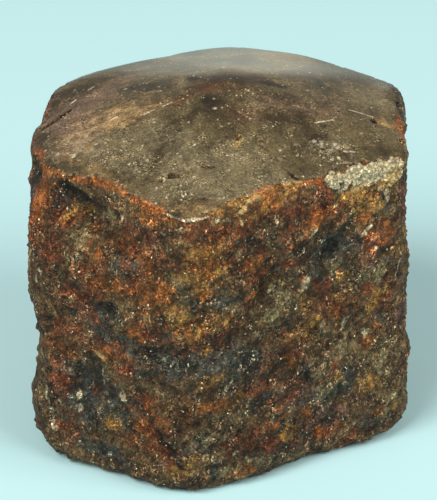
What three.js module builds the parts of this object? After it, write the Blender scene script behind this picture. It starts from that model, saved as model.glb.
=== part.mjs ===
// A corundum crystal: one stout six-sided prism with rough, rust-stained sides.
// Its top is ground and polished to a low dome, and it stands on its flat base.
//
// Millimetres, +Z up. One edge of the prism points forwards, along -Y, and +X is to the right.
// The origin is on the ground, under the middle of the crystal's box.
//
// The surface is one grid of columns round the crystal and rings from the base to the apex.
// A place on the sides is given by its girth, the distance round the crystal from the front
// edge, counted to the right, and by its height above the ground.

import * as THREE from "three";
import { ImprovedNoise } from "three/addons/math/ImprovedNoise.js";

// The prism. Each face has the bearing of its outward normal in degrees from +X, and its
// distance from the axis at the ground and at the rim of the dome: the crystal tapers a little.
const FACES = [
  { name: "right", bearing: 0, ground: 14.1, rim: 13.5 },
  { name: "back right", bearing: 60, ground: 13.6, rim: 13.6 },
  { name: "back left", bearing: 120, ground: 13.2, rim: 12.9 },
  { name: "left", bearing: 179, ground: 13.7, rim: 13.5 },
  { name: "front left", bearing: -118, ground: 14.3, rim: 13.2 },
  { name: "front right", bearing: -60, ground: 12.1, rim: 11.3 },
];
const FACE_TOP = 22;
const EDGE_SHARPNESS = 22;

// The dome: a low six-sided pyramid with soft ridges, ground convex.
const APEX = new THREE.Vector3(0.4, 0.5, 26.3);
const DOME_RISE = 4.2;
const DOME_RIDGES = 7;
const DOME_STRAIGHT = 0.78;
const DOME_TIP_ROUNDING = 0.12;

// The lower edge is worn round, most at the left corner and at the back.
const LOWER_EDGE = 1.4;
const LOWER_EDGE_WEAR = [
  { girth: -13.5, reach: 6, more: 1.3 },
  { girth: 18, reach: 5, more: 0.3 },
  { girth: 36, reach: 9, more: 1.2 },
];

// The grid.
const COLUMNS = 102;
const RINGS = { lowerEdge: 4, sides: 27, dome: 11 };
const RIM_BEVEL = 0.2;
const GIRTH_STEPS = 3600;
const RIM_PASSES = 6;

// Lumps all over the rough sides: their height and their width, and where in the noise they
// are taken from. The grain is long lumps that climb to the right. It is strongest on the
// front faces and fades out at the back, where the girth changes sign.
const COARSE_LUMPS = { high: 0.3, wide: 4.6, shift: 0 };
const FINE_LUMPS = { high: 0.16, wide: 2.3, shift: 40 };
const GRAIN = { high: 0.22, long: 6.5, wide: 2.1, climb: 38, shift: 7.3 };

// Ledges, hollows, grooves and lumps that show from a step away, placed one by one.
// long lies along the girth and high along the height, both turned by tilt degrees.
// out is how far the surface stands out, or goes in where it is negative. A ledge stands out
// or goes in at once along its lower side, and runs out smoothly upwards.
const BROAD_RELIEF = [
  { what: "front left face leans back", girth: -8.8, height: 21.5, long: 13, high: 12, out: -1.0 },
  { what: "left edge worn at the rim", girth: -13.6, height: 22, long: 7, high: 9, out: -0.6 },
  { what: "back left edge worn at the rim", girth: -26.5, height: 22, long: 12, high: 10, out: -1.0 },
  { what: "waist of the left face", girth: -16.5, height: 8, long: 17, high: 8, out: -0.9 },
  { what: "belly of the left face", girth: -17.5, height: 14, long: 14, high: 8, out: 0.2 },
  { what: "dark hollow, lower left", girth: -8.8, height: 7.6, long: 7, high: 6, out: -0.5 },
  { what: "flat on the front edge", girth: -0.4, height: 11.4, long: 5, high: 5, out: -0.35 },
];

const FRONT_LEFT_RELIEF = [
  { what: "hollow under the rim", girth: -9.6, height: 19.8, long: 5, high: 3, tilt: -6, out: -1.2 },
  { what: "shallow end of the hollow", girth: -6, height: 19.2, long: 5, high: 2.4, tilt: -12, out: -0.5 },
  { what: "strip left of the hollow", girth: -13.2, height: 18.5, long: 2, high: 5, out: 0.3 },
  { what: "pit below the hollow", girth: -9.2, height: 18.3, long: 1.8, high: 1.8, out: -0.35 },
  { what: "hollow by the front edge", girth: -3, height: 18.6, long: 3.2, high: 2.2, out: -0.35 },
  { what: "dark hollow", girth: -4.8, height: 16.2, long: 4.4, high: 3, tilt: 15, out: -0.45 },
  { what: "rusty lump", girth: -1.8, height: 15.6, long: 3, high: 2.2, tilt: -20, out: 0.4 },
  { what: "dark ledge", girth: -5.8, height: 13.6, long: 5.2, high: 3, out: -0.6, ledge: true },
  { what: "small dark hollow", girth: -8.8, height: 12.6, long: 2.2, high: 1.7, out: -0.4 },
  { what: "brown shoulder", girth: -9.6, height: 15.4, long: 4.4, high: 3, out: 0.35 },
  { what: "slate ledge", girth: -5.4, height: 11.2, long: 6, high: 2.8, tilt: -8, out: -0.55, ledge: true },
  { what: "rusty shoulder", girth: -9.8, height: 10.4, long: 4.6, high: 1.8, out: 0.35 },
  { what: "brown blob", girth: -7.6, height: 6.8, long: 2, high: 2, out: 0.55 },
  { what: "round brown lump", girth: -10.5, height: 6.8, long: 2.8, high: 3.2, out: 0.65 },
  { what: "pale chip", girth: -5, height: 7.4, long: 1.8, high: 2.8, out: 0.45 },
  { what: "vein beside the crack", girth: -1.2, height: 4.4, long: 6, high: 1.9, tilt: -50, out: 0.4 },
  { what: "crack down to the base", girth: -2.4, height: 3.7, long: 6, high: 1.8, tilt: -50, out: -0.6 },
];

const FRONT_RIGHT_RELIEF = [
  { what: "nick in the rim", girth: 6.6, height: 21.9, long: 3.4, high: 2, out: -0.5 },
  { what: "broken bevel under the rim", girth: 14.6, height: 21.6, long: 9, high: 2.6, out: -0.5 },
  { what: "ochre lump by the front edge", girth: 1.4, height: 17.4, long: 4, high: 3.6, out: 0.35 },
  { what: "ridge beside the crack", girth: 4.9, height: 16, long: 1.9, high: 5.2, out: 0.55 },
  { what: "upright crack", girth: 6.3, height: 16.2, long: 2, high: 4.8, tilt: 8, out: -0.8 },
  { what: "khaki lump", girth: 7.7, height: 12.7, long: 3, high: 2.4, out: 0.5 },
  { what: "dark hollow by the edge", girth: 2.3, height: 11.2, long: 3.8, high: 2.6, out: -0.4 },
  { what: "dark facet", girth: 11.9, height: 17, long: 5, high: 2.6, tilt: 38, out: -0.55 },
  { what: "upper dark facet", girth: 13.8, height: 18.9, long: 4.6, high: 1.9, tilt: 45, out: -0.4 },
  { what: "red-brown lump", girth: 10.4, height: 19.4, long: 3.6, high: 2, out: 0.3 },
  { what: "grey ledge", girth: 14.8, height: 14.7, long: 4.6, high: 3, tilt: 50, out: 0.7, ledge: true },
  { what: "brown fan under the ledge", girth: 14, height: 12.6, long: 3, high: 2.4, out: 0.3 },
  { what: "dark notch by the ledge", girth: 12.6, height: 13.6, long: 2.6, high: 2.2, tilt: 40, out: -0.4 },
  { what: "rusty ridge", girth: 10.8, height: 11.2, long: 4.6, high: 2.2, tilt: 32, out: 0.4 },
  { what: "slate lens", girth: 16.4, height: 10.6, long: 2.4, high: 1.9, out: -0.35 },
  { what: "pale lens", girth: 10.2, height: 7.6, long: 3.4, high: 1.9, tilt: 14, out: 0.5 },
  { what: "dark band", girth: 5.4, height: 8.6, long: 7.4, high: 2.4, tilt: -6, out: -0.5, ledge: true },
  { what: "rusty ridge, low", girth: 2.2, height: 6.8, long: 4.8, high: 1.8, tilt: 8, out: 0.4 },
  { what: "pale lump, low", girth: 4.3, height: 4.6, long: 2.6, high: 2.2, out: 0.35 },
  { what: "lump at the right edge", girth: 17.2, height: 7.6, long: 3, high: 4.4, out: 0.3 },
  { what: "hollow, low right", girth: 13.2, height: 5, long: 4.4, high: 2, tilt: 20, out: -0.4 },
];

// The hidden sides carry the same kind of relief, scattered evenly along the girth.
const SCATTER = { count: 30, from: 25, to: 68, inwards: 0.55, ledges: 0.35, seed: 20 };
const SCATTER_SIZES = {
  height: [1.5, 20.5],
  long: [2.4, 6],
  high: [1.6, 3.4],
  tilt: [-20, 50],
  out: [0.3, 0.65],
};
const NUMBER_CHAIN = { factor: 16807, prime: 2147483647 };

// Chips and bruises of the dome, placed on the plan. deep is how far they go down.
const DOME_RELIEF = [
  { what: "shell-like chip at the front edge", x: -1.3, y: -13, long: 5.6, wide: 4.4, turn: 12, deep: 0.5 },
  { what: "chip at the left rim", x: -13.4, y: 1.6, long: 5, wide: 2.2, turn: 30, deep: 0.5 },
  { what: "broken bevel at the right rim", x: 10.2, y: -7.2, long: 9, wide: 2.6, turn: 31, deep: 0.35 },
  { what: "bruise at the right rim", x: 13, y: -0.6, long: 3.4, wide: 2.4, turn: 0, deep: 0.3 },
  { what: "nick in the back rim", x: -5, y: 12, long: 3.6, wide: 2, turn: 20, deep: 0.3 },
];

const noise = new ImprovedNoise();
const girthWalk = walkRound();
const GIRTH = girthWalk.walked[GIRTH_STEPS];
const sideFeatures = [...BROAD_RELIEF, ...FRONT_LEFT_RELIEF, ...FRONT_RIGHT_RELIEF, ...scatterRelief()];

// A power mean of the six face distances: large powers keep the edges sharp.
function roundedHexagon(x, y, faceDistance, power) {
  let sum = 0;
  for (const face of FACES) {
    const bearing = THREE.MathUtils.degToRad(face.bearing);
    const reach = (x * Math.cos(bearing) + y * Math.sin(bearing)) / faceDistance(face);
    sum += Math.max(reach, 0) ** power;
  }
  return sum ** (1 / power);
}

// How far the flat prism reaches from its axis in one direction, at one height.
function prismRadius(heading, height) {
  const share = height / FACE_TOP;
  const distance = (face) => THREE.MathUtils.lerp(face.ground, face.rim, share);
  return 1 / roundedHexagon(Math.cos(heading), Math.sin(heading), distance, EDGE_SHARPNESS);
}

function middlePoint(heading) {
  const radius = prismRadius(heading, FACE_TOP / 2);
  return new THREE.Vector2(Math.cos(heading), Math.sin(heading)).multiplyScalar(radius);
}

// The front edge is where the prism reaches furthest between the two front faces.
function frontHeading() {
  const headings = [];
  for (let degrees = -115; degrees <= -65; degrees++) {
    headings.push(THREE.MathUtils.degToRad(degrees));
  }
  const reach = (heading) => prismRadius(heading, FACE_TOP / 2);
  return headings.reduce((best, heading) => (reach(heading) > reach(best) ? heading : best));
}

// The distance round the prism at half its height, added up in small steps from the front edge.
function walkRound() {
  const front = frontHeading();
  const headings = [front];
  const walked = [0];
  let last = middlePoint(front);
  for (let step = 1; step <= GIRTH_STEPS; step++) {
    const heading = front + (2 * Math.PI * step) / GIRTH_STEPS;
    const here = middlePoint(heading);
    headings.push(heading);
    walked.push(walked[step - 1] + here.distanceTo(last));
    last = here;
  }
  return { headings, walked };
}

// A girth past the middle of the back is counted from the front edge to the left.
function signedGirth(walked) {
  return walked > GIRTH / 2 ? walked - GIRTH : walked;
}

// Headings of the columns, an even distance apart along the girth.
function placeColumns() {
  const columns = [];
  for (let column = 0; column < COLUMNS; column++) {
    const wanted = (GIRTH * column) / COLUMNS;
    const step = girthWalk.walked.findIndex((walked) => walked >= wanted);
    columns.push({ heading: girthWalk.headings[step], girth: signedGirth(wanted) });
  }
  return columns;
}

// The same chain of numbers in each run, from 0 to 1.
function numberChain(seed) {
  let state = seed;
  return () => {
    state = (state * NUMBER_CHAIN.factor) % NUMBER_CHAIN.prime;
    return state / NUMBER_CHAIN.prime;
  };
}

// Ledges, lumps and hollows of the hidden sides.
function scatterRelief() {
  const next = numberChain(SCATTER.seed);
  const between = ([low, high]) => THREE.MathUtils.lerp(low, high, next());
  const features = [];
  for (let index = 0; index < SCATTER.count; index++) {
    const share = (index + next()) / SCATTER.count;
    const sign = next() < SCATTER.inwards ? -1 : 1;
    features.push({
      what: "scattered",
      girth: signedGirth(THREE.MathUtils.lerp(SCATTER.from, SCATTER.to, share)),
      height: between(SCATTER_SIZES.height),
      long: between(SCATTER_SIZES.long),
      high: between(SCATTER_SIZES.high),
      tilt: between(SCATTER_SIZES.tilt),
      out: sign * between(SCATTER_SIZES.out),
      ledge: next() < SCATTER.ledges,
    });
  }
  return features;
}

// Smooth hump: 1 at the middle, 0 from distance 1 on.
function hump(distance) {
  return distance < 1 ? (1 - distance ** 2) ** 2 : 0;
}

// How much an oval hump, hollow or ledge counts at a place: 1 in its middle, 0 outside it.
function ovalShare(across, up, long, high, tilt = 0, ledge = false) {
  const turn = THREE.MathUtils.degToRad(tilt);
  const u = (across * Math.cos(turn) + up * Math.sin(turn)) / (long / 2);
  const v = (up * Math.cos(turn) - across * Math.sin(turn)) / (high / 2);
  const step = ledge ? THREE.MathUtils.smoothstep(v, -0.35, 0.15) : 1;
  return step * hump(Math.hypot(u, v));
}

// Lumps of the rough sides.
function lumps(girth, height, x, y) {
  const noiseAt = (wide, shift) => noise.noise(x / wide + shift, y / wide, height / wide);
  const coarse = noiseAt(COARSE_LUMPS.wide, COARSE_LUMPS.shift);
  const fine = noiseAt(FINE_LUMPS.wide, FINE_LUMPS.shift);
  const climb = THREE.MathUtils.degToRad(GRAIN.climb);
  const along = height * Math.sin(climb) + girth * Math.cos(climb);
  const across = height * Math.cos(climb) - girth * Math.sin(climb);
  const fade = Math.cos((Math.PI * girth) / GIRTH) ** 2;
  const grain = fade * noise.noise(along / GRAIN.long, across / GRAIN.wide, GRAIN.shift);
  return coarse * COARSE_LUMPS.high + fine * FINE_LUMPS.high + grain * GRAIN.high;
}

// The relief of the rough sides at one place.
function sideRelief(girth, height, x, y) {
  let out = lumps(girth, height, x, y);
  for (const { girth: middle, height: level, long, high, tilt, out: most, ledge } of sideFeatures) {
    out += most * ovalShare(girth - middle, height - level, long, high, tilt, ledge);
  }
  return out;
}

function lowerEdgeRadius(girth) {
  let radius = LOWER_EDGE;
  for (const wear of LOWER_EDGE_WEAR) {
    radius += wear.more * hump(Math.abs(girth - wear.girth) / wear.reach);
  }
  return radius;
}

function lowerEdgeInset(girth, height) {
  const radius = lowerEdgeRadius(girth);
  const below = Math.max(radius - height, 0);
  return radius - Math.sqrt(radius ** 2 - below ** 2);
}

// A point of the sides, relief and worn lower edge included.
function sidePoint(column, height) {
  const { heading, girth } = column;
  const flat = prismRadius(heading, height);
  const relief = sideRelief(girth, height, flat * Math.cos(heading), flat * Math.sin(heading));
  const radius = flat + relief - lowerEdgeInset(girth, height);
  return new THREE.Vector3(radius * Math.cos(heading), radius * Math.sin(heading), height);
}

// Height of the ground dome over a point of the plan, chips included.
function domeHeight(x, y) {
  const reach = roundedHexagon(x - APEX.x, y - APEX.y, (face) => face.rim, DOME_RIDGES);
  const away = Math.hypot(reach, DOME_TIP_ROUNDING) - DOME_TIP_ROUNDING;
  let height = APEX.z - DOME_RISE * (DOME_STRAIGHT * away + (1 - DOME_STRAIGHT) * away ** 3);
  for (const chip of DOME_RELIEF) {
    height -= chip.deep * ovalShare(x - chip.x, y - chip.y, chip.long, chip.wide, chip.turn);
  }
  return height;
}

// The rim is where a column of the rough sides meets the dome, found in a few passes.
function rimPoint(column) {
  let point = sidePoint(column, FACE_TOP);
  for (let pass = 0; pass < RIM_PASSES; pass++) {
    point = sidePoint(column, domeHeight(point.x, point.y));
  }
  return point;
}

// One column of the grid, from the edge of the flat base to just short of the apex.
function columnPoints(column) {
  const points = [];
  const rim = rimPoint(column);
  const edge = lowerEdgeRadius(column.girth);
  for (let ring = 0; ring < RINGS.lowerEdge; ring++) {
    const angle = (Math.PI / 2) * (ring / RINGS.lowerEdge);
    points.push(sidePoint(column, edge * (1 - Math.cos(angle))));
  }
  for (let ring = 0; ring <= RINGS.sides; ring++) {
    points.push(sidePoint(column, THREE.MathUtils.lerp(edge, rim.z - RIM_BEVEL, ring / RINGS.sides)));
  }
  const inwards = 1 - RIM_BEVEL / Math.hypot(rim.x, rim.y);
  for (let ring = 0; ring < RINGS.dome; ring++) {
    const x = THREE.MathUtils.lerp(rim.x * inwards, APEX.x, ring / RINGS.dome);
    const y = THREE.MathUtils.lerp(rim.y * inwards, APEX.y, ring / RINGS.dome);
    points.push(new THREE.Vector3(x, y, domeHeight(x, y)));
  }
  return points;
}

// The triangles of the grid, closed by a fan on the flat base and one round the apex.
function gridTriangles(rings, baseCentre, apex) {
  const triangles = [];
  for (let column = 0; column < COLUMNS; column++) {
    const here = column * rings;
    const next = ((column + 1) % COLUMNS) * rings;
    triangles.push(baseCentre, next, here);
    for (let ring = 0; ring < rings - 1; ring++) {
      triangles.push(here + ring, next + ring, next + ring + 1);
      triangles.push(here + ring, next + ring + 1, here + ring + 1);
    }
    triangles.push(here + rings - 1, next + rings - 1, apex);
  }
  return triangles;
}

// The whole surface as one closed mesh, with the middle of its box over the origin.
function crystalGeometry() {
  const columns = placeColumns().map(columnPoints);
  const points = columns.flat();
  const baseCentre = points.push(new THREE.Vector3(0, 0, 0)) - 1;
  const apex = points.push(new THREE.Vector3(APEX.x, APEX.y, domeHeight(APEX.x, APEX.y))) - 1;
  const geometry = new THREE.BufferGeometry().setFromPoints(points);
  geometry.setIndex(gridTriangles(columns[0].length, baseCentre, apex));
  geometry.computeBoundingBox();
  const middle = geometry.boundingBox.getCenter(new THREE.Vector3());
  return geometry.translate(-middle.x, -middle.y, 0);
}

const rustyCorundum = new THREE.MeshStandardMaterial({ color: 0x5f4635, roughness: 0.6, metalness: 0 });

const crystal = new THREE.Mesh(crystalGeometry(), rustyCorundum);
crystal.name = "crystal";

const part = new THREE.Group();
part.add(crystal);
export default part;
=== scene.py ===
# %% [markdown]
# # A corundum crystal with a polished top
#
# This lesson dresses one natural crystal. It is a stout six-sided prism. Its sides are a rough rind,
# stained by iron, and its top was ground to a low dome and polished. The solid model gives its size
# and its main shapes. Here it gets a fine surface, its minerals and its gloss.

# %% Load the frame
import math

import bmesh
import bpy
import numpy as np
from mathutils import Matrix, Vector, noise
from mathutils.bvhtree import BVHTree
from mathutils.kdtree import KDTree


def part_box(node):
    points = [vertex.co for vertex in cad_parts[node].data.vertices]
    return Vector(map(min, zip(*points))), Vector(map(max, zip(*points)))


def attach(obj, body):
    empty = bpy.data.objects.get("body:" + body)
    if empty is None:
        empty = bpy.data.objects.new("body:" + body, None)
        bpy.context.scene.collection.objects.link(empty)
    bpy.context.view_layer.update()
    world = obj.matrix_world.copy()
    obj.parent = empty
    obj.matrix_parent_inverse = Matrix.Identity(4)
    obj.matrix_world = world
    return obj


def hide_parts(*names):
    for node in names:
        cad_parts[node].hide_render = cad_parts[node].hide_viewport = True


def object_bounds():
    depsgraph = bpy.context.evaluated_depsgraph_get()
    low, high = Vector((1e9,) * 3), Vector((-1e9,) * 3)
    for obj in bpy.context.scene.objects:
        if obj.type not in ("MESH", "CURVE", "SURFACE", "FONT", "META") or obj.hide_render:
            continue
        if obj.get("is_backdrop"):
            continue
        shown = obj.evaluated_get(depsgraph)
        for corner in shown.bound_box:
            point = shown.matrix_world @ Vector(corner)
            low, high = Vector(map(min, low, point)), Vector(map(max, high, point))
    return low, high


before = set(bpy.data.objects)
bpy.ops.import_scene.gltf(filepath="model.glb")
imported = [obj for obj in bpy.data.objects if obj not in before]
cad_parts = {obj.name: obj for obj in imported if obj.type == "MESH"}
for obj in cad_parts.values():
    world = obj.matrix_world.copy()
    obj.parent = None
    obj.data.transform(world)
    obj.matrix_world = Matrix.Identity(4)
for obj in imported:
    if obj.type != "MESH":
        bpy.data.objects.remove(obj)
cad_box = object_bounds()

MM = 0.001
# With a fixed seed, each run gives the same noise, so the crystal has the same facets.
NOISE_SEED = 7
noise.seed_set(NOISE_SEED)
crystal_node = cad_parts["crystal"]
low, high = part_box("crystal")
size_mm = (high - low) / MM
print(f"the crystal is {size_mm.x:.1f} x {size_mm.y:.1f} x {size_mm.z:.1f} mm")

# %% [markdown]
# ## The camera
#
# The photograph looks down on the front edge of the prism, from rather far away with a long lens, so
# the crystal's upright edges stay nearly parallel. The lens follows from the scale of the picture: at
# the aim point, one millimetre covers so many pixels of a frame 500 pixels high.

# %% Place the camera
VIEW_ELEVATION = math.radians(27.6)
CAMERA_DISTANCE = 240 * MM
NEAREST_SEEN = 10 * MM
AIM = Vector((-0.37, 0.02, 12.46)) * MM
PICTURE_HEIGHT = 500
PIXELS_PER_MM = 13.4
SENSOR_MM = 36


def make_camera():
    """A long lens that looks along +Y and down, with the picture's scale at the aim point."""
    data = bpy.data.cameras.new("camera")
    data.sensor_width = SENSOR_MM
    data.lens = SENSOR_MM * PIXELS_PER_MM * (CAMERA_DISTANCE / MM) / PICTURE_HEIGHT
    data.clip_start = NEAREST_SEEN
    camera = bpy.data.objects.new("camera", data)
    back = Vector((0, -math.cos(VIEW_ELEVATION), math.sin(VIEW_ELEVATION)))
    camera.location = AIM + CAMERA_DISTANCE * back
    camera.rotation_euler = (math.pi / 2 - VIEW_ELEVATION, 0, 0)
    bpy.context.scene.collection.objects.link(camera)
    bpy.context.scene.camera = camera
    return camera


camera = make_camera()
print(f"the lens is {camera.data.lens:.0f} mm")

# %% [markdown]
# ## Colours and nodes
#
# Colours are written as sRGB hex values, as a colour picker gives them, but shaders work with linear
# light, so one function turns the first into the second. Another adds a node with its settings and
# links, so that a material reads from top to bottom as a recipe. A third starts a material.


# %% Three helpers for materials
def linear(hex_colour):
    """An sRGB hex colour as linear red, green, blue and alpha."""
    channels = [int(hex_colour[i:i + 2], 16) / 255 for i in (1, 3, 5)]
    return [c / 12.92 if c <= 0.04045 else ((c + 0.055) / 1.055) ** 2.4 for c in channels] + [1]


def add_node(tree, kind, inputs=None, output=0, **settings):
    """Adds a node and returns one output. Inputs that are sockets are linked, and others are set."""
    node = tree.nodes.new(kind)
    for name, value in settings.items():
        setattr(node, name, value)
    for name, value in (inputs or {}).items():
        if isinstance(value, bpy.types.NodeSocket):
            tree.links.new(value, node.inputs[name])
        else:
            node.inputs[name].default_value = value
    return node.outputs[output]


def new_material(name, finish):
    """A material with one surface of a fixed finish, and its node tree."""
    material = bpy.data.materials.new(name)
    material.use_nodes = True
    surface = material.node_tree.nodes["Principled BSDF"]
    for socket, value in finish.items():
        surface.inputs[socket].default_value = value
    return material, material.node_tree, surface


# %% [markdown]
# ## Floor and light
#
# The crystal stands on a plain, pale blue floor. The light is a soft studio light: a dim sky all round,
# a large key lamp to the front left and a weaker one to the right. The back of the dome slopes away
# from the viewer, so it mirrors the pale floor and a white card that stands low behind the crystal.
# That gives the grey sheen along its top.

# %% Make the floor and the lights
FLOOR_HALF = 1500 * MM
# Matt paint has next to no sheen.
FLOOR_FINISH = {"Base Color": linear("#c7f1fa"), "Roughness": 0.9, "Specular IOR Level": 0.05}
SKY = {"Color": linear("#fffaf2"), "Strength": 0.24}
LAMPS = {
    # place in mm, width, height, watts, colour
    "key": ((-300, -330, 480), 360, 360, 3.4, "#fffbf2"),
    "fill": ((420, -260, 380), 420, 420, 2.4, "#fffbf2"),
    "card": ((16, 620, 70), 155, 90, 0.155, "#f9f4dc"),
}


def make_floor():
    """A large plane under the crystal."""
    mesh = bpy.data.meshes.new("floor")
    corners = [(-1, -1, 0), (1, -1, 0), (1, 1, 0), (-1, 1, 0)]
    mesh.from_pydata([Vector(c) * FLOOR_HALF for c in corners], [], [(0, 1, 2, 3)])
    floor = bpy.data.objects.new("floor", mesh)
    bpy.context.scene.collection.objects.link(floor)
    mesh.materials.append(new_material("matt pale blue paint", FLOOR_FINISH)[0])
    return floor


def make_lamp(name, place, width, tall, watts, colour):
    """A soft rectangular lamp that faces the crystal."""
    data = bpy.data.lights.new(name, "AREA")
    data.shape = "RECTANGLE"
    data.size = width * MM
    data.size_y = tall * MM
    data.energy = watts
    data.color = linear(colour)[:3]
    lamp = bpy.data.objects.new(name, data)
    lamp.location = Vector(place) * MM
    lamp.rotation_euler = (AIM - lamp.location).to_track_quat("-Z", "Y").to_euler()
    bpy.context.scene.collection.objects.link(lamp)


def make_sky():
    """A dim, even light from all round."""
    world = bpy.data.worlds.new("studio")
    world.use_nodes = True
    for name, value in SKY.items():
        world.node_tree.nodes["Background"].inputs[name].default_value = value
    bpy.context.scene.world = world


make_floor()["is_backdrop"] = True
make_sky()
for name, settings in LAMPS.items():
    make_lamp(name, *settings)
bpy.context.scene.view_settings.view_transform = "Standard"
print(f"floor, sky and {len(LAMPS)} lamps are in place")

# %% [markdown]
# ## A fine mesh over the solid
#
# The solid has one face to every square millimetre or so. Subdividing alone would keep its uneven
# faces, and fine relief would show their pattern. So its triangles are paired to four-sided faces and
# subdivided, which rounds them off. A voxel remesh then gives faces of one even size all over, and each
# point is set back on the smooth surface. The dome's faces are split once more, because its scratches
# and pits are finer than the rind's lumps. From here on the work is in millimetres, because the real
# details are about that size.

# %% Build the fine mesh
VOXEL = 0.262
WELD = 0.001
ANY_ANGLE = math.pi
DOME_LOWEST = 17.0
DOME_LEAN = 0.5


def evaluated_copy(mesh, kind, **settings):
    """The mesh after one modifier."""
    carrier = bpy.data.objects.new("carrier", mesh)
    bpy.context.scene.collection.objects.link(carrier)
    modifier = carrier.modifiers.new(kind, kind)
    for name, value in settings.items():
        setattr(modifier, name, value)
    graph = bpy.context.evaluated_depsgraph_get()
    made = bpy.data.meshes.new_from_object(carrier.evaluated_get(graph))
    bpy.data.objects.remove(carrier)
    return made


def paired_faces(node):
    """The node's surface in millimetres, with its triangles joined in pairs."""
    work = bmesh.new()
    work.from_mesh(node.data)
    bmesh.ops.scale(work, vec=(1 / MM,) * 3, verts=work.verts)
    bmesh.ops.remove_doubles(work, verts=work.verts, dist=WELD)
    angles = {"angle_face_threshold": ANY_ANGLE, "angle_shape_threshold": ANY_ANGLE}
    bmesh.ops.join_triangles(work, faces=work.faces, **angles)
    mesh = bpy.data.meshes.new("paired")
    work.to_mesh(mesh)
    work.free()
    return mesh


def points_of(mesh):
    """The mesh's points as rows of x, y and z."""
    points = np.empty(len(mesh.vertices) * 3)
    mesh.vertices.foreach_get("co", points)
    return points.reshape(-1, 3)


def normals_of(mesh):
    """The direction in which the surface faces at each point."""
    normals = np.empty(len(mesh.vertices) * 3, np.float32)
    mesh.vertex_normals.foreach_get("vector", normals)
    return normals.reshape(-1, 3).astype(float)


def set_points(mesh, points):
    """Moves the mesh's points."""
    mesh.vertices.foreach_set("co", points.ravel())
    mesh.update()


def fine_mesh(node):
    """An even, fine mesh on the smoothed surface of the node."""
    smooth = evaluated_copy(paired_faces(node), "SUBSURF", levels=2, render_levels=2)
    mesh = evaluated_copy(smooth, "REMESH", mode="VOXEL", voxel_size=VOXEL)
    corners = [tuple(face.vertices) for face in smooth.polygons]
    tree = BVHTree.FromPolygons([v.co for v in smooth.vertices], corners)
    set_points(mesh, np.array([tree.find_nearest(v.co)[0] for v in mesh.vertices]))
    return mesh


def split_dome(mesh):
    """Splits the dome's faces in four, because its details are finer than the rind's."""
    work = bmesh.new()
    work.from_mesh(mesh)
    split = {face for face in work.faces
             if face.normal.z > DOME_LEAN and face.calc_center_median().z > DOME_LOWEST}
    edges = [edge for edge in work.edges if split.intersection(edge.link_faces)]
    bmesh.ops.subdivide_edges(work, edges=edges, cuts=1, use_grid_fill=True)
    work.to_mesh(mesh)
    work.free()


mesh = fine_mesh(crystal_node)
split_dome(mesh)
mesh.name = "crystal_surface"
places = points_of(mesh)
facing = normals_of(mesh)
triangles = sum(len(face.vertices) - 2 for face in mesh.polygons)
print(f"the fine mesh has {len(mesh.vertices)} points and {triangles} triangles")

# %% [markdown]
# ## Where is a point on the crystal?
#
# On the sides, a place is easiest to give as on a label wrapped round a tin: by its girth, which is the
# distance round the crystal from its front edge, counted to the right, and by its height. On the dome,
# a place is given on the plan, seen from above. Two masks say which part a point belongs to.

# %% Find girth, height, dome and rim
PRISM_AXIS = (-0.34, -0.22)
FRONT_EDGE = math.radians(-99)
HEADING_STEPS = 240
UPRIGHT_HEIGHTS = (8, 14)
DOME_FACING = (0.62, 0.86)
SURE_DOME = 0.95
RIM_FACING = (0.45, 0.8)
RIM_WIDTH = 0.8


def smoothstep(value, start, end):
    """0 below start, 1 above end, and smooth between them."""
    share = np.clip((value - start) / (end - start), 0, 1)
    return share * share * (3 - 2 * share)


def between(value, limits):
    """True where the value lies between two limits."""
    return (value > limits[0]) & (value < limits[1])


def girth_round(points, chosen):
    """The distance round the prism of each point, and the whole distance round it."""
    away = points[:, :2] - PRISM_AXIS
    heading = (np.arctan2(away[:, 1], away[:, 0]) - FRONT_EDGE) % (2 * math.pi)
    reach = np.hypot(away[:, 0], away[:, 1])
    step = (heading / (2 * math.pi) * HEADING_STEPS).astype(int) % HEADING_STEPS
    mean = np.array([reach[chosen & (step == i)].mean() for i in range(HEADING_STEPS)])
    angles = (np.arange(HEADING_STEPS + 1) + 0.5) / HEADING_STEPS * 2 * math.pi
    outline = np.append(mean, mean[0])[:, None] * np.stack([np.cos(angles), np.sin(angles)], 1)
    walked = np.append(0, np.cumsum(np.hypot(*np.diff(outline, axis=0).T)))
    return np.interp(heading, angles - angles[0], walked), walked[-1]


def distance_to(points, chosen):
    """The distance from each point to the nearest chosen one."""
    tree = KDTree(int(chosen.sum()))
    for index, point in enumerate(points[chosen]):
        tree.insert(point, index)
    tree.balance()
    return np.array([tree.find(point)[2] for point in points])


height = places[:, 2]
girth, whole_girth = girth_round(places, between(height, UPRIGHT_HEIGHTS))
faces_up = facing[:, 2]
dome = smoothstep(faces_up, *DOME_FACING) * (height > DOME_LOWEST)
from_dome = distance_to(places, dome > SURE_DOME)
on_rim = between(faces_up, RIM_FACING) & (from_dome < RIM_WIDTH)
from_rim = distance_to(places, on_rim)
print(f"the crystal is {whole_girth:.1f} mm round, and its rim has {on_rim.sum()} points")

# %% [markdown]
# ## Relief of the rough rind
#
# The rind grew against other minerals and then weathered, so it has relief of every size: lumps, small
# flat facets where flakes have broken off, seams between them, long ridges that climb to the right, and
# grains. A sculptor could carve them one by one, but they are countless and random, so each kind is one
# noise with its own real size. All of them fade out on the dome, which was ground smooth, and at the
# flat base.

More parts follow.
